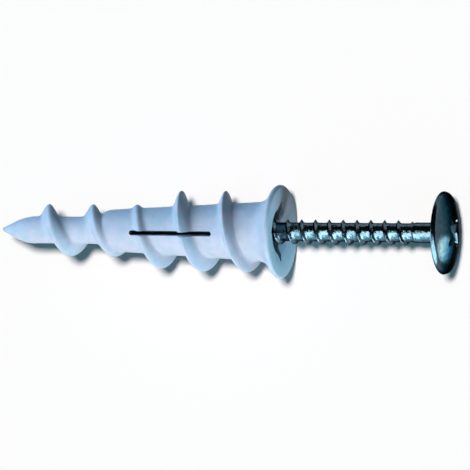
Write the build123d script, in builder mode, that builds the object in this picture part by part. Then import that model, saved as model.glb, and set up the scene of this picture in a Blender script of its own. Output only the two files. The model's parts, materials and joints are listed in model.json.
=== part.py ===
"""A self-drilling drywall anchor of nylon, with its truss-head screw started in the mouth.

Both pieces are modelled standing on one axis, with depth measured down from the collar's face at Z = 0:
the anchor hangs below that plane and the screw rises out of it. The pair is then laid down on a floor,
where it comes to rest on two rims, the collar's lip and the edge of the screw's head.
"""

import os
from itertools import pairwise
from math import asin, atan2, ceil, cos, hypot, pi, radians, sin, tan

from build123d import *

# Screw
screw_length = 30.0  # from the head's underside to the point
screw_started = 6.2  # how deep the point has been pushed below the collar's face
screw_point = 5.0  # length of the tapered gimlet point
thread_radius = 1.75  # over the crests of the screw's thread
core_radius = 1.32  # at the foot of the screw's thread
neck_radius = 1.45  # plain stretch under the head
neck_length = 4.2
screw_pitch = 2.055
screw_crest = 0.12  # width of the thread's sharp crest
screw_flank = 30.0  # half the angle between the thread's two flanks
screw_bearing = -72.0  # bearing about the axis at which its thread begins
head_radius = 5.85
head_edge = 0.45  # thickness of the head at its rim
head_dome = 1.35  # rise of the dome above its rim
head_fillet = 0.35  # where the neck runs into the head
drive_mouth = (4.8, 0.75, 1.25)  # cross recess at the dome: span, wing's width at its tip and at its root
drive_floor = (1.9, 0.45, 0.8)
drive_depth = 2.0

# Anchor
bore_clearance = 0.1  # around the screw's crests
bore_end_clearance = 1.0  # below the point of the fully driven screw
shoulder_length = 2.8  # step from the shank down to the slim nose
nose_length = 9.2
nose_radius = 1.9
point_length = 4.6
point_flat = 0.15  # radius of the blunt tip of the drill point
shank_radius = 2.95  # at the shoulder
collar_foot_radius = 4.15  # where the shank runs into the flare
flare_length = 3.6
collar_radius = 6.6
lip_thickness = 0.8
dish_lip = 0.7  # flat ring between the rounded lip and the dished mouth
dish_slope = 0.9  # width of the dish's sloping rim
dish_depth = 0.6
socket_mouth = (8.6, 0.5, 3.5)  # driver's cross recess at the dish: span, wing's width at its tip and at its root
socket_floor = (5.2, 0.4, 2.4)
socket_depth = 5.5  # from the dish's floor
slot_length = 12.5
slot_width = 0.7
slot_setback = 3.5  # from the shoulder to the slot's nearer end
slot_angle = 96.0  # the slot's bearing about the axis

# Anchor's thread
pitch = 6.62
low_crest_radius = 3.63  # first turns, which cut their way in
high_crest_radius = 5.65  # later turns, which hold in the board
thread_setback = 3.4  # from the drill point to the thread's first sign
thread_bearing = 164.0  # bearing of that first sign about the axis
thread_run_in = 3.2  # length over which the low thread rises
step_from_shoulder = 4.0  # from the shoulder to where the crest starts to climb
step_length = 4.2  # length of that climb
run_out_length = 2.2  # length over which the high thread dies at the collar
crest_width = 0.24
thread_flank = 28.5  # half the angle between the ridge's two flanks
thread_sink = 0.5  # how far the ridge's foot is sunk below the nose

STEPS_PER_TURN = 16

# Places along the axis, all worked out from the sizes above
bore_radius = thread_radius + bore_clearance
shoulder_depth = screw_length - screw_point + bore_end_clearance * 0.4
bore_depth = screw_length + bore_end_clearance
nose_depth = shoulder_depth + shoulder_length
point_depth = nose_depth + nose_length
anchor_length = point_depth + point_length
head_height = screw_length - screw_started
head_top = head_height + head_edge + head_dome
lip_round = lip_thickness / 2
edge_round = head_edge / 2
shank_slope = (collar_foot_radius - shank_radius) / (shoulder_depth - flare_length)


def eased(start, end, share):
    """A value that leaves start and reaches end without a corner, as share goes from 0 to 1."""
    return start + (end - start) * share * share * (3 - 2 * share)


def helical_ridge(turn_pitch, bearing, flank, width, stations):
    """A thread's ridge as solids, one for each stretch between two stations.

    A station is (height, foot radius, crest radius). The ridge is a trapezium in every plane through the axis:
    its corners run along four helices, ruled faces join them, and a flat face closes each end.
    """
    ridge = []
    first_height = stations[0][0]
    for (z0, foot0, crest0), (z1, foot1, crest1) in pairwise(stations):
        steps = max(4, ceil(STEPS_PER_TURN * (z1 - z0) / turn_pitch))
        corners = [[], [], [], []]
        for step in range(steps + 1):
            share = step / steps
            height = z0 + (z1 - z0) * share
            foot = eased(foot0, foot1, share)
            crest = eased(crest0, crest1, share)
            turn = radians(bearing) + 2 * pi * (height - first_height) / turn_pitch
            reach = width / 2 + (crest - foot) * tan(radians(flank))
            profile = ((foot, -reach), (crest, -width / 2), (crest, width / 2), (foot, reach))
            for corner, (radius, offset) in zip(corners, profile):
                corner.append(Vector(radius * cos(turn), radius * sin(turn), height + offset))
        edges = [Edge.make_spline(corner) for corner in corners]
        sides = [Face.make_surface_from_curves(edges[i], edges[(i + 1) % 4]) for i in range(4)]
        ends = [Face(Wire.make_polygon([corner[i] for corner in corners])) for i in (0, -1)]
        ridge.append(Solid(Shell(sides + ends)))
    return ridge


def cross_recess(top, depth, mouth, floor):
    """The solid to cut away for a driver: a cross whose wings narrow outwards and downwards.

    mouth and floor are the cross's outlines at the height top and at the recess's depth, each given as the
    span across two wings, a wing's width at its tip and its width where it meets the next wing.
    """
    with BuildPart(mode=Mode.PRIVATE) as recess:
        for height, (span, tip, root) in ((top, mouth), (top - depth, floor)):
            wing = ((span / 2, -tip / 2), (span / 2, tip / 2), (root / 2, root / 2))
            outline = [Vector(x, y).rotate(Axis.Z, bearing) for bearing in (0, 90, 180, 270) for x, y in wing]
            with BuildSketch(Plane.XY.offset(height)):
                with BuildLine():
                    Polyline(*outline, close=True)
                make_face()
        loft(ruled=True)
    return recess.part


# The anchor's outside is turned: drill point, slim nose, shoulder, tapered shank, trumpet flare and lip
with BuildPart() as anchor_body:
    with BuildSketch(Plane.XZ):
        with BuildLine():
            Line((0, -anchor_length), (point_flat, -anchor_length))
            Spline((point_flat, -anchor_length), (nose_radius, -point_depth), tangents=[(0.5, 1), (0.1, 1)])
            Line((nose_radius, -point_depth), (nose_radius, -nose_depth))
            Spline((nose_radius, -nose_depth), (shank_radius, -shoulder_depth), tangents=[(0, 1), (shank_slope, 1)])
            Line((shank_radius, -shoulder_depth), (collar_foot_radius, -flare_length))
            Spline(
                (collar_foot_radius, -flare_length),
                (collar_radius - lip_round, -lip_thickness),
                tangents=[(shank_slope, 1), (1, 0.8)],
            )
            ThreePointArc(
                (collar_radius - lip_round, -lip_thickness),
                (collar_radius, -lip_round),
                (collar_radius - lip_round, 0),
            )
            Line((collar_radius - lip_round, 0), (0, 0))
            Line((0, 0), (0, -anchor_length))
        make_face()
    revolve(axis=Axis.Z)

    thread_foot = nose_radius - thread_sink
    thread_start = -anchor_length + thread_setback
    step_start = -shoulder_depth + step_from_shoulder
    run_out_end = -flare_length * 0.8
    for stretch in helical_ridge(
        pitch,
        thread_bearing,
        thread_flank,
        crest_width,
        [
            (thread_start, thread_foot, thread_foot + 0.1),
            (thread_start + thread_run_in, thread_foot, low_crest_radius),
            (step_start, thread_foot, low_crest_radius),
            (step_start + step_length, thread_foot, high_crest_radius),
            (run_out_end - run_out_length, thread_foot, high_crest_radius),
            (run_out_end, thread_foot, collar_foot_radius),
        ],
    ):
        add(stretch)

    # The mouth: a dish, the driver's cross recess and a blind bore with a tapered end
    with BuildSketch(Plane.XZ):
        dish_edge = collar_radius - lip_round - dish_lip
        with BuildLine():
            Polyline(
                (0, 0),
                (dish_edge, 0),
                (dish_edge - dish_slope, -dish_depth),
                (bore_radius, -dish_depth),
                (bore_radius, -shoulder_depth),
                (point_flat, -bore_depth),
                (0, -bore_depth),
                close=True,
            )
        make_face()
    revolve(axis=Axis.Z, mode=Mode.SUBTRACT)
    add(cross_recess(-dish_depth, socket_depth, socket_mouth, socket_floor), mode=Mode.SUBTRACT)

    # The expansion slot splits the shank right through, thread and all
    slot_centre = -shoulder_depth + slot_setback + slot_length / 2
    slot_normal = (cos(radians(slot_angle)), sin(radians(slot_angle)), 0)
    with BuildSketch(Plane(origin=(0, 0, slot_centre), x_dir=(0, 0, 1), z_dir=slot_normal)):
        SlotOverall(slot_length, slot_width)
    extrude(amount=2 * high_crest_radius, both=True, mode=Mode.SUBTRACT)

# The screw: a turned core with its point, neck and head, then the rolled thread and the driver's recess
with BuildPart() as screw:
    with BuildSketch(Plane.XZ):
        tip_height = -screw_started
        neck_height = head_height - neck_length
        rim_height = head_height + head_edge
        with BuildLine():
            Polyline(
                (0, head_top),
                (0, tip_height),
                (core_radius, tip_height + screw_point),
                (core_radius, neck_height),
                (neck_radius, neck_height + neck_radius - core_radius),
                (neck_radius, head_height),
                (head_radius - edge_round, head_height),
            )
            ThreePointArc(
                (head_radius - edge_round, head_height),
                (head_radius, head_height + edge_round),
                (head_radius - edge_round, rim_height),
            )
            dome_reach = head_radius - edge_round
            dome_radius = (dome_reach**2 + head_dome**2) / (2 * head_dome)
            RadiusArc(
                (dome_reach, rim_height),
                (0, head_top),
                -dome_radius,
            )
        make_face()
    revolve(axis=Axis.Z)
    under_head = screw.edges().filter_by(GeomType.CIRCLE).filter_by(
        lambda e: abs(e.radius - neck_radius) < 0.001 and abs(e.center().Z - head_height) < 0.001
    )
    fillet(under_head, head_fillet)

    for stretch in helical_ridge(
        screw_pitch,
        screw_bearing,
        screw_flank,
        screw_crest,
        [
            (tip_height + 0.4, 0.05, 0.1),
            (tip_height + screw_point, core_radius * 0.8, thread_radius),
            (neck_height - screw_pitch / 2, core_radius * 0.8, thread_radius),
            (neck_height + screw_pitch / 4, core_radius * 0.8, core_radius),
        ],
    ):
        add(stretch)
    add(cross_recess(head_top, drive_depth, drive_mouth, drive_floor), mode=Mode.SUBTRACT)

# At rest both rims touch the floor, so the axis dips towards the head by the slope of their common tangent
rim_spacing = head_height + edge_round + lip_round
rim_drop = (collar_radius - lip_round) - (head_radius - edge_round)
dip = atan2(rim_drop, rim_spacing) + asin((lip_round - edge_round) / hypot(rim_drop, rim_spacing))
lip_height = lip_round + (collar_radius - lip_round) * cos(dip)
collar_height = lip_height - lip_round * sin(dip)
middle = (anchor_length - head_top) * cos(dip) / 2
lying = Plane(origin=(middle, 0, collar_height), x_dir=(0, 1, 0), z_dir=(cos(dip), 0, -sin(dip)))

anchor_body.part.move(lying.location)
screw.part.move(lying.location)
anchor_body.part.label = "anchor_body"
screw.part.label = "screw"

os.makedirs("parts", exist_ok=True)
export_step(anchor_body.part, "parts/anchor_body.step")
export_step(screw.part, "parts/screw.step")
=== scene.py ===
"""The looks of a self-drilling drywall anchor, with its steel screw started in the mouth.

Two surfaces take the place of the frame's plain solids: the moulded nylon anchor and the zinc-plated screw.
Both are worked out standing on one axis, in millimetres, with height 0 at the collar's face, the anchor
below it and the screw above it. They are then laid along the axis that the frame gives.
"""

from __future__ import annotations

import json
import logging
import math
from dataclasses import dataclass
from enum import Enum
from typing import Callable

import bmesh
import bpy
import numpy as np
from mathutils import Matrix, Vector

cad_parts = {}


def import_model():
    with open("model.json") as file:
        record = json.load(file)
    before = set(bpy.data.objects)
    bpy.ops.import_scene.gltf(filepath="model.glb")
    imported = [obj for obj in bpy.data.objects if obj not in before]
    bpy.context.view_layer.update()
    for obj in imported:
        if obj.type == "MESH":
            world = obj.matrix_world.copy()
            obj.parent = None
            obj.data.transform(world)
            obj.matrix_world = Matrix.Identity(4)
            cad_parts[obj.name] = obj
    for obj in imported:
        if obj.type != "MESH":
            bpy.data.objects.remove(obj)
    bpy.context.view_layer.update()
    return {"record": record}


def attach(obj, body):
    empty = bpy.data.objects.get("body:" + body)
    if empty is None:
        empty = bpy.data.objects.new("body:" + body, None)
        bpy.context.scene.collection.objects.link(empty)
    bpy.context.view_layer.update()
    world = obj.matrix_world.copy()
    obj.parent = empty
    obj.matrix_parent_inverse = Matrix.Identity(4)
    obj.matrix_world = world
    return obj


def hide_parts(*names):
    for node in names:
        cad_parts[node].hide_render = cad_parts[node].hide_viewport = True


LOG = logging.getLogger("drywall_anchor")
MM = 0.001
# Face attribute that carries painted shade inside the anchor's bore, slot and socket.
PAINTED_SHADE = "hollow"
# Face attribute that is 1 on the rolled shank, for its dents, and 0 on the head, which gets painted shade.
ROLLED = "rolled"
CREASE = 32.0  # degrees
MERGED = 1e-7  # metres between points that are one
DEGENERATE = 1e-8  # metres of an edge that is none
SAME_HEIGHT = 1e-9  # millimetres


class Body(Enum):
    """The two bodies that move against each other."""

    ANCHOR = "anchor"
    SCREW = "screw"


class Finish(Enum):
    """The record's material slots."""

    NYLON = "nylon"
    ZINC = "zinc_plated_steel"


def eased(start: np.ndarray, end: np.ndarray, share: np.ndarray) -> np.ndarray:
    """Value that leaves start and reaches end level: start + (end - start) * share^2 * (3 - 2 share)."""
    return start + (end - start) * share * share * (3 - 2 * share)


def smooth_max(a: np.ndarray, b: np.ndarray, blend: float) -> np.ndarray:
    """Larger of a and b with a fillet between them: half of a + b + the root of (a - b)^2 + 4 blend^2."""
    return (a + b + np.sqrt((a - b) ** 2 + 4 * blend * blend)) / 2


def bezier(start: tuple, lead: tuple, follow: tuple, end: tuple, steps: int) -> np.ndarray:
    """Points of a cubic curve in (radius, height), weighted (1-t)^3, 3t(1-t)^2, 3t^2(1-t) and t^3.

    Args:
        start: First point.
        lead: Vector from the first point to its handle.
        follow: Vector from the handle of the last point to that point.
        end: Last point.
        steps: Number of spans.

    Returns:
        Array of steps + 1 points.
    """
    t = np.linspace(0, 1, steps + 1)[:, None]
    first, last = np.array(start, float), np.array(end, float)
    near, far = first + np.array(lead), last - np.array(follow)
    return first * (1 - t) ** 3 + 3 * near * t * (1 - t) ** 2 + 3 * far * t**2 * (1 - t) + last * t**3


def along(length: float, direction: tuple) -> tuple:
    """Vector of a given length in a direction of (radius, height)."""
    size = math.hypot(*direction)
    return (length * direction[0] / size, length * direction[1] / size)


def arc(centre: tuple, radius: float, start: float, end: float, steps: int) -> np.ndarray:
    """Points at radius from centre, at bearings from start to end in degrees, in (radius, height)."""
    turn = np.radians(np.linspace(start, end, steps + 1))
    return np.column_stack([centre[0] + radius * np.cos(turn), centre[1] + radius * np.sin(turn)])


@dataclass
class Skin:
    """Polygons of one surface, in the standing frame in millimetres."""

    points: np.ndarray
    faces: list

    def joined(self, other: Skin) -> Skin:
        """This skin and another one as one."""
        moved = [[corner + len(self.points) for corner in face] for face in other.faces]
        return Skin(np.vstack([self.points, other.points]), [*self.faces, *moved])

    def ring_to(self, height: float, radius: float) -> None:
        """Brings the ring of points at one height to a true circle."""
        ring = np.abs(self.points[:, 2] - height) < SAME_HEIGHT
        self.points[ring, :2] *= (radius / np.hypot(*self.points[ring, :2].T))[:, None]


@dataclass(frozen=True)
class Axis:
    """The pair's common axis as the frame has it: the collar's centre and the way to the screw's head."""

    origin: tuple
    direction: tuple

    @classmethod
    def of_record(cls, record: dict) -> Axis:
        """The axis of the mount in the anchor's mouth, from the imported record."""
        mouth = next(mount for mount in record["mounts"] if mount["name"] == "anchor_drive")
        return cls(tuple(mouth["pos_m"]), tuple(mouth["axis"]))

    def ways(self) -> np.ndarray:
        """The standing frame's X, Y and Z: the frame's +Y, the side that faces up, and the axis."""
        ahead, side = np.array(self.direction), np.array([0.0, 1.0, 0.0])
        return np.array([side, np.cross(ahead, side), ahead])

    def lay(self, points: np.ndarray) -> np.ndarray:
        """Points of the standing frame, in millimetres, laid down in metres."""
        return np.array(self.origin) + (points @ self.ways()) * MM

    def stand(self, points: np.ndarray) -> np.ndarray:
        """Points in metres, stood up in the standing frame in millimetres."""
        return (points - np.array(self.origin)) @ self.ways().T / MM


@dataclass(frozen=True)
class ThreadedGrid:
    """A grid round the axis whose rows climb with a thread, so that each crest lies along one row.

    Row k of the column at share s of a turn has the height start + pitch * (s + whole turns) + offset. The
    offsets are half the pitch times (evenness * t + (1 - evenness) * t^3), for t from -1 to 1, so that they
    are crowded about 0, the crest. The column stands at bearing + 360 s degrees. Heights are clipped to the
    stretch from low to high, and the last column is the first one, a turn higher.
    """

    pitch: float
    start: float
    bearing: float
    low: float
    high: float
    columns: int
    rows: int
    evenness: float

    def skin(self, radius: Callable[[np.ndarray, np.ndarray], np.ndarray]) -> Skin:
        """The surface whose radius is a function of bearing and height.

        Args:
            radius: Gives the radius at arrays of bearings, in degrees, and heights.

        Returns:
            The skin, open at both ends.
        """
        share = np.arange(self.columns) / self.columns
        t = np.arange(self.rows) / self.rows * 2 - 1
        offset = self.pitch / 2 * (self.evenness * t + (1 - self.evenness) * t**3)
        first_turn = math.floor((self.low - self.start) / self.pitch) - 2
        last_turn = math.ceil((self.high - self.start) / self.pitch) + 2
        turns = np.arange(first_turn, last_turn + 1)
        climb = (turns[:, None] * self.pitch + offset).ravel()
        raw = self.start + self.pitch * share[:, None] + climb
        height = np.clip(raw, self.low, self.high)
        first = (raw <= self.low).sum(axis=1) - 1
        last = (raw < self.high).sum(axis=1)
        bearing = self.bearing + 360 * share[:, None] + 0 * height
        reach = radius(bearing, height)
        turn = np.radians(bearing)
        points = np.stack([reach * np.cos(turn), reach * np.sin(turn), height], axis=-1).reshape(-1, 3)

        # Rows clipped at an end become one point. Behind the seam stands the first column, a turn higher.
        count = height.shape[1]
        column = np.repeat(np.arange(self.columns + 1), count).reshape(-1, count)
        row = np.tile(np.arange(count), (self.columns + 1, 1))
        row[-1] = np.minimum(row[-1] + self.rows, count - 1)
        column[-1] = 0
        index = column * count + np.clip(row, first[column], last[column])
        a, b, c, d = index[:-1, :-1], index[1:, :-1], index[1:, 1:], index[:-1, 1:]
        corners = np.concatenate([np.stack([a, b, c], -1), np.stack([a, c, d], -1)]).reshape(-1, 3)
        whole = (corners != np.roll(corners, 1, axis=1)).all(axis=1)
        used, faces = np.unique(corners[whole], return_inverse=True)
        return Skin(points[used], faces.reshape(-1, 3).tolist())

    def lathe(self, profile: np.ndarray) -> Skin:
        """The surface turned by a profile, in the same columns as the grid.

        Args:
            profile: Array of (radius, height). A radius of 0 closes the surface in a pole.

        Returns:
            The skin, whose faces look outwards where the profile climbs.
        """
        turn = np.radians(self.bearing + 360 * np.arange(self.columns) / self.columns)
        reach = np.repeat(profile[:, :1], self.columns, axis=1)
        height = np.repeat(profile[:, 1:], self.columns, axis=1)
        points = np.stack([reach * np.cos(turn), reach * np.sin(turn), height], axis=-1).reshape(-1, 3)
        row = np.arange(len(profile) - 1)[:, None] * self.columns
        here = np.arange(self.columns)[None, :]
        ahead = (here + 1) % self.columns
        faces = np.stack([row + here, row + ahead, row + self.columns + ahead, row + self.columns + here], -1)
        return Skin(points, faces.reshape(-1, 4).tolist())


@dataclass(frozen=True)
class Ridge:
    """A thread's ridge: a rounded crest with straight flanks, on a helix of constant pitch.

    The crest passes the height start at bearing, and its flanks lean off square to the axis by flank, with
    both angles in degrees. The places are (height, crest's radius, crest's width) in rising order. The crest
    eases from each to the next, and there is no ridge before the first or after the last.
    """

    pitch: float
    start: float
    bearing: float
    flank: float
    places: tuple

    def crest(self, height: np.ndarray) -> tuple[np.ndarray, np.ndarray]:
        """The crest where it passes a height.

        Args:
            height: Array of heights.

        Returns:
            Its radii, 0 where there is no ridge, and its widths.
        """
        at, reach, width = np.array(self.places).T
        span = np.clip(np.searchsorted(at, height) - 1, 0, len(at) - 2)
        share = np.clip((height - at[span]) / (at[span + 1] - at[span]), 0, 1)
        inside = (height >= at[0]) & (height <= at[-1])
        radius = np.where(inside, eased(reach[span], reach[span + 1], share), 0.0)
        return radius, eased(width[span], width[span + 1], share)

    def radius(self, bearing: np.ndarray, height: np.ndarray) -> np.ndarray:
        """Radius of the ridge alone.

        With d the distance along the axis from the nearest turn of the crest, and e half the crest's width,
        it is the crest's radius less (the root of d^2 + e^2, less e) divided by the tangent of the flank.

        Args:
            bearing: Bearings in degrees.
            height: Heights.

        Returns:
            Array of radii, which fall below the body's own between the turns.
        """
        climb = self.start + self.pitch * (bearing - self.bearing) / 360
        nearest = climb + self.pitch * np.round((height - climb) / self.pitch)
        away = height - nearest
        reach, width = self.crest(nearest)
        fall = (np.sqrt(away * away + width * width / 4) - width / 2) / math.tan(math.radians(self.flank))
        return reach - fall


def prism(layers: list) -> Skin:
    """A closed solid through like outlines at rising heights.

    Args:
        layers: (height, outline) pairs, each outline an array of (x, y) with the same number of points.

    Returns:
        The skin, with a polygon at each end.
    """
    count = len(layers[0][1])
    points = np.vstack([np.column_stack([outline, np.full(count, height)]) for height, outline in layers])
    row = np.arange(len(layers) - 1)[:, None] * count
    here = np.arange(count)[None, :]
    ahead = (here + 1) % count
    sides = np.stack([row + here, row + ahead, row + count + ahead, row + count + here], -1).reshape(-1, 4)
    top = list(range(len(points) - count, len(points)))
    return Skin(points, [*sides.tolist(), list(range(count))[::-1], top])


@dataclass(frozen=True)
class CrossRecess:
    """A driver's cross recess that narrows from its mouth to its floor.

    The mouth and the floor are each (span, width at a wing's tip, width at its root), top is the mouth's
    height, and overshoot is how far the cutter stands proud of it. One wing points at bearing, in degrees.
    """

    mouth: tuple
    floor: tuple
    top: float
    depth: float
    bearing: float = 0.0
    overshoot: float = 0.6
    tip_steps: int = 6

    def outline(self, span: float, tip: float, root: float) -> np.ndarray:
        """Outline of the cross, whose wings end in half circles and meet in the corners (root / 2, root / 2).

        Args:
            span: Across two wings.
            tip: Width of a wing at its end.
            root: Width of a wing where it meets the next one.

        Returns:
            Array of (x, y), counterclockwise.
        """
        turn = np.radians(np.linspace(-90, 90, self.tip_steps + 1))
        end = np.column_stack([span / 2 - tip / 2 + tip / 2 * np.cos(turn), tip / 2 * np.sin(turn)])
        wing = np.vstack([end, [[root / 2, root / 2]]])
        quarter = np.radians(self.bearing + np.arange(4) * 90)[:, None]
        x = wing[:, 0] * np.cos(quarter) - wing[:, 1] * np.sin(quarter)
        y = wing[:, 0] * np.sin(quarter) + wing[:, 1] * np.cos(quarter)
        return np.stack([x, y], -1).reshape(-1, 2)

    def solid(self) -> Skin:
        """The recess as a closed solid that stands a little proud of the face it is cut into.

        Returns:
            The skin of that solid.
        """
        mouth = self.outline(*self.mouth)
        return prism([
            (self.top - self.depth, self.outline(*self.floor)),
            (self.top, mouth),
            (self.top + self.overshoot, mouth),
        ])


def mesh_object(name: str, skin: Skin, axis: Axis) -> bpy.types.Object:
    """A new object of a skin, laid on the axis, with doubles merged and faces turned outwards.

    Args:
        name: The object's name.
        skin: Its surface.
        axis: Where it lies.

    Returns:
        The object, at the origin.
    """
    mesh = bpy.data.meshes.new(name)
    mesh.from_pydata(axis.lay(skin.points).tolist(), [], skin.faces)
    shell = bmesh.new()
    shell.from_mesh(mesh)
    bmesh.ops.remove_doubles(shell, verts=shell.verts, dist=MERGED)
    bmesh.ops.dissolve_degenerate(shell, edges=shell.edges, dist=DEGENERATE)
    bmesh.ops.recalc_face_normals(shell, faces=shell.faces)
    shell.to_mesh(mesh)
    shell.free()
    piece = bpy.data.objects.new(name, mesh)
    bpy.context.scene.collection.objects.link(piece)
    return piece


def carve(piece: bpy.types.Object, cutters: list) -> None:
    """Cuts solids out of a piece and deletes them.

    Args:
        piece: The piece that is cut.
        cutters: Closed objects to take away.
    """
    for cutter in cutters:
        cut = piece.modifiers.new("cut", "BOOLEAN")
        cut.operation, cut.solver, cut.object = "DIFFERENCE", "EXACT", cutter
    bpy.context.view_layer.update()
    shaped = bpy.data.meshes.new_from_object(piece.evaluated_get(bpy.context.evaluated_depsgraph_get()))
    piece.modifiers.clear()
    piece.data = shaped
    for cutter in cutters:
        bpy.data.meshes.remove(cutter.data)


def smooth(mesh: bpy.types.Mesh) -> None:
    """Shades a mesh smooth, apart from edges that turn by more than CREASE degrees."""
    mesh.polygons.foreach_set("use_smooth", np.ones(len(mesh.polygons), bool))
    mesh.set_sharp_from_angle(angle=math.radians(CREASE))


def face_middles(mesh: bpy.types.Mesh, axis: Axis) -> np.ndarray:
    """Finds the middles of a mesh's faces in the standing frame.

    Args:
        mesh: The mesh, whose piece is laid on the axis.
        axis: Where the piece lies.

    Returns:
        Rows of x, y and height.
    """
    middle = np.empty(len(mesh.polygons) * 3)
    mesh.polygons.foreach_get("center", middle)
    return axis.stand(middle.reshape(-1, 3)).T


def mark(mesh: bpy.types.Mesh, name: str, share: np.ndarray) -> None:
    """Keeps a number for each face of a mesh, which its material reads by name."""
    mesh.attributes.new(name, "FLOAT", "FACE").data.foreach_set("value", share)


class Value:
    """A shader socket that takes part in Python expressions."""

    def __init__(self, book: NodeBook, socket: bpy.types.NodeSocket) -> None:
        """Keeps the socket and the tree it belongs to."""
        self.book = book
        self.socket = socket

    def _maths(self, operation: str, *inputs: object) -> Value:
        """One Math node on these values."""
        return self.book.node("ShaderNodeMath", {"operation": operation}, dict(enumerate(inputs)))

    def __add__(self, other: object) -> Value:
        """Sum."""
        return self._maths("ADD", self, other)

    def __sub__(self, other: object) -> Value:
        """Difference."""
        return self._maths("SUBTRACT", self, other)

    def __rsub__(self, other: object) -> Value:
        """Difference from a number."""
        return self._maths("SUBTRACT", other, self)

    def __mul__(self, other: object) -> Value:
        """Product."""
        return self._maths("MULTIPLY", self, other)

    __radd__ = __add__
    __rmul__ = __mul__

    def clamped(self) -> Value:
        """The value kept between 0 and 1."""
        return self._maths("MAXIMUM", self._maths("MINIMUM", self, 1.0), 0.0)


class NodeBook:
    """The node tree of one material or world."""

    def __init__(self, tree: bpy.types.NodeTree) -> None:
        """Empties the tree."""
        self.tree = tree
        tree.nodes.clear()

    def node(self, kind: str, settings: dict, inputs: dict, output: int | str = 0) -> Value | None:
        """Adds a node.

        Args:
            kind: The node's type.
            settings: Its properties.
            inputs: Numbers, colours or Values for its sockets, by name or index.
            output: Which of its outputs is wanted.

        Returns:
            That output, or nothing where the node has none.
        """
        node = self.tree.nodes.new(kind)
        for key, setting in settings.items():
            setattr(node, key, setting)
        for key, given in inputs.items():
            if isinstance(given, Value):
                self.tree.links.new(given.socket, node.inputs[key])
            else:
                node.inputs[key].default_value = given
        return Value(self, node.outputs[output]) if len(node.outputs) else None

    def place(self) -> Value:
        """Object coordinates, in metres."""
        return self.node("ShaderNodeTexCoord", {}, {}, "Object")

    def noise(self, place: Value, scale: float, detail: float) -> Value:
        """Noise of 0 to 1 at a place, with scale in features per metre."""
        return self.node("ShaderNodeTexNoise", {}, {"Vector": place, "Scale": scale, "Detail": detail})

    def mix(self, factor: object, first: object, second: object) -> Value:
        """Colour between two colours."""
        return self.node("ShaderNodeMix", {"data_type": "RGBA"}, {0: factor, 6: first, 7: second}, 2)

    def bump(self, height: Value, strength: float, distance: float) -> Value:
        """Normal of a surface whose height rises by distance, in metres, from 0 to 1."""
        return self.node("ShaderNodeBump", {}, {"Height": height, "Strength": strength, "Distance": distance})


def new_material(name: str) -> tuple[bpy.types.Material, NodeBook]:
    """Makes a material without nodes.

    Args:
        name: The material's name.

    Returns:
        The material and the book of its nodes.
    """
    made = bpy.data.materials.new(name)
    made.use_nodes = True
    return made, NodeBook(made.node_tree)


@dataclass(frozen=True)
class MouldedNylon:
    """Pale blue-white nylon with the satin, faintly cloudy surface that a steel mould gives it, and painted
    shade in its bore, slot and socket.

    The clouds' and the grain's scales are in features per metre, and contrasts stretch them about their
    middle. The relief and the glow's scale are in metres.
    """

    clear: tuple = (0.43, 0.575, 0.70, 1.0)
    cloudy: tuple = (0.61, 0.635, 0.765, 1.0)
    # Painted shade: the near-black colour that the bore, slot and socket are darkened towards, and how far.
    hollow: tuple = (0.03, 0.06, 0.06, 1.0)
    painted_shade_share: float = 0.85
    cloud_scale: float = 650.0
    cloud_contrast: float = 2.2
    grain_scale: float = 5000.0
    grain_contrast: float = 1.1
    roughness: float = 0.5
    roughness_swing: float = 0.16
    cloud_relief: float = 1.5
    relief_strength: float = 0.35
    relief: float = 0.02 * MM
    refraction: float = 1.53
    gloss: float = 0.08
    glow: float = 0.12
    glow_reach: tuple = (0.8, 0.9, 1.0)
    glow_scale: float = 0.5 * MM

    def material(self) -> bpy.types.Material:
        """Builds the material.

        Returns:
            The material, with painted shade darkening its colour where the face attribute of painted shade is
            high.
        """
        made, book = new_material("moulded_nylon")
        place = book.place()
        clouds = book.noise(place, self.cloud_scale, detail=3.0)
        grain = book.noise(place, self.grain_scale, detail=2.0)
        mottle = self.cloud_contrast * (clouds - 0.5) + self.grain_contrast * (grain - 0.5) + 0.5
        tint = book.mix(mottle.clamped(), self.clear, self.cloudy)
        # Painted shade: the share of darkening marked on each face inside the bore, slot and socket.
        inside = book.node("ShaderNodeAttribute", {"attribute_name": PAINTED_SHADE}, {}, "Fac")
        skin = {
            # Painted shade: the mottled colour is mixed towards the near-black shade colour inside the
            # hollows.
            "Base Color": book.mix(self.painted_shade_share * inside, tint, self.hollow),
            "Roughness": self.roughness_swing * (clouds - 0.5) + self.roughness,
            "Normal": book.bump(grain + self.cloud_relief * clouds, self.relief_strength, self.relief),
            "IOR": self.refraction,
            "Specular IOR Level": self.gloss,
            "Subsurface Weight": self.glow,
            "Subsurface Radius": self.glow_reach,
            "Subsurface Scale": self.glow_scale,
        }
        shader = book.node("ShaderNodeBsdfPrincipled", {}, skin)
        book.node("ShaderNodeOutputMaterial", {}, {"Surface": shader})
        return made


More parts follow.
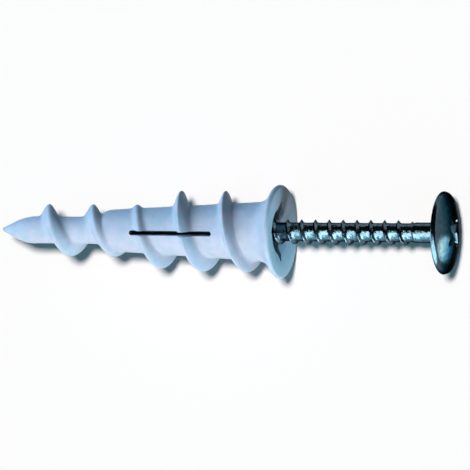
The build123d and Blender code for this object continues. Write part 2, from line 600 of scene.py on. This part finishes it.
@dataclass(frozen=True)
class ZincPlate:
    """Bright zinc over steel: a cold teal metal with fine dents and dull patches, and painted shade that
    darkens the head.

    Scales are in features per metre, and relief is in metres.
    """

    bright: tuple = (0.12, 0.17, 0.2, 1.0)
    dull: tuple = (0.06, 0.1, 0.12, 1.0)
    # Painted shade: the near-black colour the head's zinc is darkened towards, and how far.
    head_painted_shade: tuple = (0.025, 0.055, 0.07, 1.0)
    head_shade_share: float = 0.55
    edge_tint: tuple = (0.02, 0.04, 0.05, 1.0)
    patch_scale: float = 1600.0
    patch_contrast: float = 2.5
    patch_level: float = 0.35
    dent_scale: float = 2200.0
    grain_scale: float = 9000.0
    roughness: float = 0.08
    wear_roughness: float = 0.10
    grain_roughness: float = 0.08
    rolled_dents: float = 1.7
    dents_everywhere: float = 0.3
    grain_relief: float = 0.3
    relief_strength: float = 0.9
    relief: float = 0.05 * MM

    def material(self) -> bpy.types.Material:
        """Builds the material.

        Returns:
            The material, more dented where the attribute ROLLED is high, and darkened by painted shade where
            it is low.
        """
        made, book = new_material("bright_zinc")
        place = book.place()
        patches = book.noise(place, self.patch_scale, detail=3.0)
        dents = book.noise(place, self.dent_scale, detail=2.0)
        grain = book.noise(place, self.grain_scale, detail=2.0)
        wear = (self.patch_contrast * (patches - 0.5) + self.patch_level).clamped()
        rolled = book.node("ShaderNodeAttribute", {"attribute_name": ROLLED}, {}, "Fac")
        plate = book.mix(wear, self.bright, self.dull)
        surface = (self.rolled_dents * rolled + self.dents_everywhere) * dents + self.grain_relief * grain
        skin = {
            # Painted shade: where the shank mark is 0, on the head, the zinc is mixed towards the
            # painted-shade colour.
            "Base Color": book.mix(self.head_shade_share * (1.0 - rolled), plate, self.head_painted_shade),
            "Metallic": 1.0,
            "Roughness": self.wear_roughness * wear + self.grain_roughness * grain + self.roughness,
            "Normal": book.bump(surface, self.relief_strength, self.relief),
            "Specular Tint": self.edge_tint,
        }
        shader = book.node("ShaderNodeBsdfPrincipled", {}, skin)
        book.node("ShaderNodeOutputMaterial", {}, {"Surface": shader})
        return made


@dataclass(frozen=True)
class AnchorBody:
    """The moulded anchor: drill point, nose, stepped thread, trumpet collar, cross socket, bore and slot.

    Depths are under the collar's face. Handles are the lengths of a curve's two handles, and a way is a
    direction in (radius, height).
    """

    length: float = 42.0
    point_depth: float = 37.4
    point_flat: float = 0.15
    point_handles: tuple = (1.578, 1.934)
    point_way: tuple = (0.5, 1.0)
    nose_way: tuple = (0.1, 1.0)
    nose_depth: float = 28.2
    nose_radius: float = 1.9
    shoulder_handles: tuple = (1.283, 1.218)
    shoulder_depth: float = 25.4
    shank_radius: float = 2.95
    collar_foot_radius: float = 4.15
    flare_length: float = 3.6
    flare_handles: tuple = (1.535, 1.150)
    flare_way: tuple = (1.0, 0.8)
    collar_radius: float = 6.6
    lip_thickness: float = 0.8
    dish_lip: float = 0.45
    dish_depth: float = 0.45
    dish_level_share: float = 0.4
    brim_handle: float = 0.5
    brim_way: tuple = (-1.0, -0.25)
    funnel_radius: float = 3.3
    funnel_foot: float = 2.5
    funnel_depth: float = 1.1
    bore_radius: float = 1.85
    bore_end_radius: float = 0.15
    bore_end_depth: float = 31.0
    slot_length: float = 12.5
    slot_width: float = 0.7
    slot_cap_steps: int = 12
    slot_setback: float = 3.5
    slot_angle: float = 96.0
    # Painted shade inside the bore and slot: how far under the outside a face must lie, where the darkening
    # starts and its run.
    painted_shade_margin: float = 0.12
    painted_shade_start: float = 0.9
    painted_shade_run: float = 1.6
    thread: Ridge = Ridge(
        pitch=6.62,
        start=-38.6,
        bearing=164.0,
        flank=23.0,
        places=(
            (-40.2, 0.4, 1.0),
            (-38.6, 1.5, 1.4),
            (-35.4, 3.65, 1.7),
            (-21.4, 3.65, 1.7),
            (-17.2, 5.68, 0.65),
            (-5.08, 5.68, 0.65),
            (-2.88, 4.15, 0.7),
            (-2.2, 3.2, 0.7),
        ),
    )
    thread_fillet: float = 0.17
    thread_top: float = -2.0
    socket: CrossRecess = CrossRecess(mouth=(8.6, 0.5, 3.5), floor=(5.2, 0.4, 2.4), top=0.0, depth=5.5)

    def outside(self) -> np.ndarray:
        """Profile of the body from the point to the lip, as lines and cubic curves.

        Returns:
            Array of (radius, height) in rising order.
        """
        run = self.shoulder_depth - self.flare_length
        slope = (self.collar_foot_radius - self.shank_radius) / run
        tip, nose = (self.point_flat, -self.length), (self.nose_radius, -self.point_depth)
        neck, waist = (self.nose_radius, -self.nose_depth), (self.shank_radius, -self.shoulder_depth)
        foot = (self.collar_foot_radius, -self.flare_length)
        lip = (self.collar_radius - self.lip_thickness / 2, -self.lip_thickness)
        return np.vstack([
            self.curve(tip, self.point_handles, self.point_way, self.nose_way, nose, steps=24),
            self.curve(neck, self.shoulder_handles, (0.0, 1.0), (slope, 1.0), waist, steps=24),
            self.curve(foot, self.flare_handles, (slope, 1.0), self.flare_way, lip, steps=40),
        ])

    @staticmethod
    def curve(
        start: tuple, handles: tuple, leaving: tuple, arriving: tuple, end: tuple, steps: int
    ) -> np.ndarray:
        """A cubic curve that leaves and arrives in given ways, with handles of given lengths."""
        return bezier(start, along(handles[0], leaving), along(handles[1], arriving), end, steps)

    def radius(self, bearing: np.ndarray, height: np.ndarray) -> np.ndarray:
        """Radius of the outside with its thread, as the filleted larger of the profile and the ridge.

        Args:
            bearing: Bearings in degrees.
            height: Heights.

        Returns:
            Array of radii.
        """
        profile = self.outside()
        body = np.interp(height, profile[:, 1], profile[:, 0])
        return smooth_max(body, self.thread.radius(bearing, height), self.thread_fillet)

    def inside(self) -> np.ndarray:
        """Profile over the lip, down the eased dish, the funnel and the bore to its closed end.

        Returns:
            Array of (radius, height).
        """
        half_lip = self.lip_thickness / 2
        dish_edge = self.collar_radius - half_lip - self.dish_lip
        lip = arc((self.collar_radius - half_lip, -half_lip), half_lip, -90, 90, steps=14)
        brim = (self.funnel_radius, -self.dish_depth)
        level = (-self.dish_level_share * (dish_edge - self.funnel_radius), 0.0)
        dish = bezier((dish_edge, 0.0), level, along(self.brim_handle, self.brim_way), brim, steps=16)
        down = [
            (self.funnel_foot, -self.funnel_depth),
            (self.bore_radius, -self.funnel_depth),
            (self.bore_radius, -self.shoulder_depth),
            (self.bore_end_radius, -self.bore_end_depth),
            (0.0, -self.bore_end_depth),
        ]
        return np.vstack([lip[1:], dish, down])

    def slot(self) -> Skin:
        """The expansion slot as a flat block right through the shank, with round ends along the axis.

        Returns:
            The skin of that block.
        """
        half, radius = self.slot_length / 2, self.slot_width / 2
        middle = -self.shoulder_depth + self.slot_setback + half
        turn = np.radians(np.linspace(0, 180, self.slot_cap_steps + 1))
        cap = np.column_stack([radius * np.cos(turn), half - radius + radius * np.sin(turn)])
        reach, plane = self.collar_radius, math.radians(self.slot_angle)
        through = np.array([math.cos(plane), math.sin(plane), 0.0])
        across = np.array([-math.sin(plane), math.cos(plane), 0.0])
        outline = np.vstack([cap, -cap])
        block = prism([(-reach, outline), (reach, outline)])
        width, climb, depth = block.points.T[:, :, None]
        upward = np.array([0.0, 0.0, 1.0])
        return Skin(width * across + depth * through + (climb + middle) * upward, block.faces)

    def build(self, axis: Axis) -> bpy.types.Object:
        """Makes the anchor's mesh.

        Args:
            axis: Where it lies.

        Returns:
            The object, with its socket and slot cut.
        """
        profile = self.outside()
        turn = int(np.searchsorted(profile[:, 1], self.thread_top))
        top = float(profile[turn, 1])
        grid = ThreadedGrid(self.thread.pitch, self.thread.start, self.thread.bearing,
                            -self.length, top, columns=144, rows=40, evenness=0.15)
        threaded = grid.skin(self.radius)
        threaded.ring_to(top, profile[turn, 0])
        threaded.ring_to(-self.length, self.point_flat)
        collar = grid.lathe(np.vstack([profile[turn:], self.inside()]))
        tip = grid.lathe(np.array([(0.0, -self.length), (self.point_flat, -self.length)]))
        piece = mesh_object("anchor_moulding", threaded.joined(collar).joined(tip), axis)
        carve(piece, [
            mesh_object("socket_cutter", self.socket.solid(), axis),
            mesh_object("slot_cutter", self.slot(), axis),
        ])
        smooth(piece.data)
        # Painted shade: darkens the faces inside the bore, slot and socket.
        self.mark_painted_shade(piece.data, axis)
        return piece

    def mark_painted_shade(self, mesh: bpy.types.Mesh, axis: Axis) -> None:
        """Gives each face inside the bore and the slot a share of painted shade, 0 to 1, which grows down the
        mouth.

        A face is inside where it lies under the funnel and its middle is nearer the axis, by
        painted_shade_margin or more, than the outside is there. The share rises from painted_shade_start
        down, over painted_shade_run.

        Args:
            mesh: The anchor's mesh.
            axis: Where it lies.
        """
        x, y, height = face_middles(mesh, axis)
        outside = self.radius(np.degrees(np.arctan2(y, x)), height)
        inside = (outside - np.hypot(x, y) > self.painted_shade_margin) & (height < -self.funnel_depth)
        mark(mesh, PAINTED_SHADE, inside * np.clip((-self.painted_shade_start - height) / self.painted_shade_run, 0, 1))


@dataclass(frozen=True)
class TrussScrew:
    """The screw: gimlet point, coarse thread, plain neck and a low domed head with a cross recess.

    Heights are over the collar's face, started is how far under it the point stands, and rolled_margin is how
    far under the head the rolled dents end and the head's painted shade begins.
    """

    started: float = 6.2
    point_length: float = 5.0
    point_flat: float = 0.02
    core_radius: float = 1.32
    core_top: float = 19.6
    neck_radius: float = 1.45
    neck_low: float = 19.73
    head_height: float = 23.8
    head_radius: float = 5.85
    head_corner: float = 0.09
    head_shoulder: float = 0.75
    head_top: float = 25.5
    head_fillet: float = 0.35
    rolled_margin: float = 1.0
    point_blend: float = 0.1
    thread: Ridge = Ridge(
        pitch=2.055,
        start=-5.8,
        bearing=-72.0,
        flank=30.0,
        places=(
            (-6.6, 0.0, 0.12),
            (-5.8, 0.1, 0.12),
            (-1.2, 1.75, 0.12),
            (18.57, 1.75, 0.12),
            (20.11, 1.32, 0.12),
            (20.6, 1.0, 0.12),
        ),
    )
    thread_fillet: float = 0.05
    thread_low: float = -6.15
    thread_high: float = 20.9
    drive: CrossRecess = CrossRecess(mouth=(5.8, 0.9, 1.6), floor=(2.0, 0.5, 0.9), top=25.6, depth=2.0,
                                     bearing=45.0)

    def radius(self, bearing: np.ndarray, height: np.ndarray) -> np.ndarray:
        """Radius of the core with its thread, as the filleted larger of the two.

        Args:
            bearing: Bearings in degrees.
            height: Heights.

        Returns:
            Array of radii. The fillet shrinks towards the point, down to point_blend of its size.
        """
        places = [-self.started, self.point_length - self.started, self.core_top, self.neck_low]
        core = np.interp(height, places, [0.0, self.core_radius, self.core_radius, self.neck_radius])
        blend = self.thread_fillet * np.clip((height + self.started) / self.point_length, self.point_blend, 1)
        return smooth_max(core, self.thread.radius(bearing, height), blend)

    def head(self) -> np.ndarray:
        """Profile from the neck over the head's rim and shoulder to the top of its dome.

        The dome is the arc that touches the shoulder's. With r the shoulder's radius, x its centre's distance
        from the axis and h the dome's rise above that centre, its radius is (x^2 + h^2 - r^2) / (2 (h - r)).

        Returns:
            Array of (radius, height).
        """
        corner, shoulder = self.head_corner, self.head_shoulder
        rim = self.head_height + corner
        reach, rise = self.head_radius - shoulder, self.head_top - rim
        dome = (reach**2 + rise**2 - shoulder**2) / (2 * (rise - shoulder))
        lean = math.degrees(math.asin(reach / (dome - shoulder)))
        fillet = (self.neck_radius + self.head_fillet, self.head_height - self.head_fillet)
        return np.vstack([
            [(self.neck_radius, self.thread_high)],
            arc(fillet, self.head_fillet, 180, 90, steps=6),
            arc((self.head_radius - corner, rim), corner, -90, 0, steps=5),
            arc((reach, rim), shoulder, 0, 90 - lean, steps=14)[1:],
            arc((0, self.head_top - dome), dome, 90 - lean, 90, steps=28)[1:],
        ])

    def build(self, axis: Axis) -> bpy.types.Object:
        """Makes the screw's mesh.

        Args:
            axis: Where it lies.

        Returns:
            The object, with its recess cut.
        """
        grid = ThreadedGrid(self.thread.pitch, self.thread.start, self.thread.bearing,
                            self.thread_low, self.thread_high, columns=96, rows=14, evenness=0.3)
        threaded = grid.skin(self.radius)
        threaded.ring_to(self.thread_high, self.neck_radius)
        threaded.ring_to(self.thread_low, self.point_flat)
        tip = grid.lathe(np.array([(0.0, -self.started), (self.point_flat, self.thread_low)]))
        piece = mesh_object("truss_head_screw", threaded.joined(grid.lathe(self.head())).joined(tip), axis)
        carve(piece, [mesh_object("drive_cutter", self.drive.solid(), axis)])
        smooth(piece.data)
        # Marks the rolled shank with 1, for its dents; the head, at 0, gets painted shade.
        height = face_middles(piece.data, axis)[2]
        mark(piece.data, ROLLED, np.clip(self.head_height - self.rolled_margin - height, 0, 1))
        return piece


@dataclass(frozen=True)
class Lamp:
    """A lamp that the camera doesn't see, which hangs to one side of the place that it shines at.

    Distances and sizes are in metres, and the energy is in Blender's unit for its kind.
    """

    name: str
    toward: tuple
    energy: float
    colour: tuple = (1.0, 1.0, 1.0)
    distance: float = 0.25
    aim: tuple = (0.0, 0.0, 0.0)

    def light(self) -> bpy.types.Light:
        """The bare light, of the lamp's own kind and size."""
        raise NotImplementedError

    def hang(self) -> bpy.types.Object:
        """Puts the lamp in the scene.

        Returns:
            Its object.
        """
        light = self.light()
        light.energy, light.color = self.energy, self.colour
        holder = bpy.data.objects.new(self.name, light)
        direction = Vector(self.toward).normalized()
        turn = direction.to_track_quat("Z", "Y").to_matrix().to_4x4()
        holder.matrix_world = Matrix.Translation(Vector(self.aim) + direction * self.distance) @ turn
        holder.visible_camera = False
        bpy.context.scene.collection.objects.link(holder)
        return holder


@dataclass(frozen=True)
class Sun(Lamp):
    """A sun, which is as broad as its spread in degrees."""

    spread: float = 0.0

    def light(self) -> bpy.types.Light:
        """Makes the bare sun.

        Returns:
            Its light.
        """
        light = bpy.data.lights.new(self.name, "SUN")
        light.angle = math.radians(self.spread)
        return light


@dataclass(frozen=True)
class SoftBox(Lamp):
    """A rectangular soft box."""

    width: float = 0.2
    height: float = 0.2

    def light(self) -> bpy.types.Light:
        """Makes the bare rectangle.

        Returns:
            Its light.
        """
        light = bpy.data.lights.new(self.name, "AREA")
        light.shape, light.size, light.size_y = "RECTANGLE", self.width, self.height
        return light


@dataclass(frozen=True)
class Card(Lamp):
    """A small round card of light."""

    width: float = 0.005

    def light(self) -> bpy.types.Light:
        """Makes the bare disc.

        Returns:
            Its light.
        """
        light = bpy.data.lights.new(self.name, "AREA")
        light.shape, light.size = "DISK", self.width
        return light


def leaning(ahead: float, aside: float) -> tuple:
    """Direction that leans from straight up by some degrees towards +X and some towards +Y."""
    return (math.tan(math.radians(ahead)), math.tan(math.radians(aside)), 1.0)


@dataclass(frozen=True)
class Studio:
    """A white floor seen steeply from above through a long lens.

    The floor, the nylon and the steel have lamps of their own: suns that draw the shadow on the floor, boxes
    that light the nylon from the near side and, bluer, from the nose's side and the mouth's, and boxes whose
    images are the bright bands on the steel. The card hangs close before the head and has its image low on
    the dome, which would mirror nothing but the floor without it. Angles are in degrees, the lens and its
    sensor are in millimetres, and nearest, farthest and floor_half are in metres.
    """

    axis: Axis
    camera_lean: float = 21.06
    camera_roll: float = 0.45
    pixels: int = 470
    pixels_per_mm: float = 7.1
    collar_pixel: tuple = (282.7, 231.7)
    lens: float = 1000.0
    sensor: float = 36.0
    nearest: float = 0.1
    farthest: float = 20.0
    floor_half: float = 3.0
    paper: tuple = (0.93, 0.93, 0.93, 1.0)
    bounce: tuple = (0.03, 0.075, 0.08, 1.0)
    room: tuple = (0.012, 0.018, 0.022, 1.0)
    horizon: tuple = (0.95, 0.955, 0.96, 1.0)
    horizon_band: float = 0.03
    horizon_edge: float = 40.0
    floor_lamps: tuple = (
        Sun("shadow_lamp", leaning(10.5, 8.5), 3.2, (1.0, 0.93, 0.9), spread=9.0),
        Sun("floor_fill", (0.0, 0.0, 1.0), 0.42, (0.3, 0.8, 1.0), spread=150.0),
    )
    nylon_lamps: tuple = (
        SoftBox("key_box", (-0.2, -0.72, 1.0), 0.61, width=0.24, height=0.24),
        SoftBox("blue_fill", (-0.9, 0.6, 0.6), 0.54, (0.44, 0.73, 1.0)),
        SoftBox("end_fill", (0.4, -1.0, 0.12), 0.47, (0.85, 0.93, 1.0), distance=0.3, width=0.1, height=0.1),
        SoftBox("mouth_fill", (1.0, -0.22, 0.1), 0.46, (0.36, 0.85, 1.0), distance=0.3, width=0.08,
                height=0.08),
    )
    steel_lamps: tuple = (
        SoftBox("steel_box", (-0.3, -0.3, 0.93), 0.72, (0.85, 0.97, 1.0), width=0.2, height=0.18),
        SoftBox("rim_box", (0.5, -0.85, 0.55), 2.6, (0.75, 0.92, 1.0), width=0.3, height=0.3),
        SoftBox("steel_side", (-0.1, -1.0, 0.45), 0.5, (0.45, 0.88, 1.0), width=0.4, height=0.2),
        Card("dome_card", (0.655, -0.166, -0.733), 0.0008, (1.0, 0.68, 0.6), distance=0.006,
             aim=(0.0332, -0.0021, 0.0083), width=0.0048),
    )

    def camera(self) -> None:
        """Places the camera so that the collar's centre falls on its pixel, at the measured scale."""
        lean, roll = math.radians(self.camera_lean), math.radians(self.camera_roll)
        back = Vector((math.sin(lean), 0, math.cos(lean)))
        level, upright = Vector((math.cos(lean), 0, -math.sin(lean))), Vector((0, 1, 0))
        right = level * math.cos(roll) + upright * math.sin(roll)
        up = upright * math.cos(roll) - level * math.sin(roll)
        frame_width = self.pixels / self.pixels_per_mm * MM
        distance = self.lens / self.sensor * frame_width
        across = (self.collar_pixel[0] - self.pixels / 2) / self.pixels_per_mm * MM
        down = (self.collar_pixel[1] - self.pixels / 2) / self.pixels_per_mm * MM
        middle = Vector(self.axis.origin) - right * across + up * down
        lens = bpy.data.cameras.new("camera")
        lens.lens, lens.sensor_width, lens.sensor_fit = self.lens, self.sensor, "HORIZONTAL"
        lens.clip_start, lens.clip_end = self.nearest, self.farthest
        holder = bpy.data.objects.new("camera", lens)
        turn = Matrix((right, up, back)).transposed().to_4x4()
        holder.matrix_world = Matrix.Translation(middle + back * distance) @ turn
        bpy.context.scene.collection.objects.link(holder)
        bpy.context.scene.camera = holder

    def floor(self) -> bpy.types.Object:
        """A floor at height 0, which is white to the eye and in reflections, and throws little light back up.

        Returns:
            The floor.
        """
        half = self.floor_half
        mesh = bpy.data.meshes.new("floor")
        corners = [(-half, -half, 0), (half, -half, 0), (half, half, 0), (-half, half, 0)]
        mesh.from_pydata(corners, [], [(0, 1, 2, 3)])
        ground = bpy.data.objects.new("floor", mesh)
        bpy.context.scene.collection.objects.link(ground)
        made, book = new_material("white_floor")
        camera, glossy, through = (
            book.node("ShaderNodeLightPath", {}, {}, f"Is {kind} Ray")
            for kind in ("Camera", "Glossy", "Transmission")
        )
        paper = book.mix((camera + glossy + through).clamped(), self.bounce, self.paper)
        shader = book.node("ShaderNodeBsdfDiffuse", {}, {"Color": paper})
        book.node("ShaderNodeOutputMaterial", {}, {"Surface": shader})
        mesh.materials.append(made)
        return ground

    def lights(self, anchor: bpy.types.Object, screw: bpy.types.Object, ground: bpy.types.Object) -> None:
        """Hangs the lamps, each kind for one receiver alone, and sets the world.

        Args:
            anchor: The nylon piece.
            screw: The steel piece.
            ground: The floor.
        """
        groups = ((self.floor_lamps, ground), (self.nylon_lamps, anchor), (self.steel_lamps, screw))
        hung = [([lamp.hang() for lamp in lamps], receiver) for lamps, receiver in groups]
        for lamps, receiver in hung:
            caught = bpy.data.collections.new("lit_by_" + lamps[0].name)
            caught.objects.link(receiver)
            for lamp in lamps:
                lamp.light_linking.receiver_collection = caught
        self.world()

    def world(self) -> None:
        """A dim room with a pale band along the horizon, where the floor ends."""
        world = bpy.data.worlds.new("world")
        world.use_nodes = True
        book = NodeBook(world.node_tree)
        direction = book.node("ShaderNodeTexCoord", {}, {}, "Generated")
        height = book.node("ShaderNodeSeparateXYZ", {}, {"Vector": direction}, "Z")
        above = (self.horizon_edge * (height - self.horizon_band)).clamped()
        colour = book.mix(above, self.horizon, self.room)
        room = book.node("ShaderNodeBackground", {}, {"Color": colour, "Strength": 1.0})
        book.node("ShaderNodeOutputWorld", {}, {"Surface": room})
        bpy.context.scene.world = world


def main() -> None:
    """Builds the anchor, the screw and the studio."""
    logging.basicConfig(level=logging.INFO, format="%(message)s")
    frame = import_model()
    axis = Axis.of_record(frame["record"])
    anchor = AnchorBody().build(axis)
    anchor.data.materials.append(MouldedNylon().material())
    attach(anchor, Body.ANCHOR.value)
    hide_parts("anchor_body")
    screw = TrussScrew().build(axis)
    screw.data.materials.append(ZincPlate().material())
    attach(screw, Body.SCREW.value)
    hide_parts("screw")
    for piece in (anchor, screw):
        LOG.info("%s: %d faces", piece.name, len(piece.data.polygons))
    studio = Studio(axis)
    studio.camera()
    studio.lights(anchor, screw, studio.floor())
    bpy.context.scene.view_settings.view_transform = "Standard"


if __name__ == "__main__":
    main()
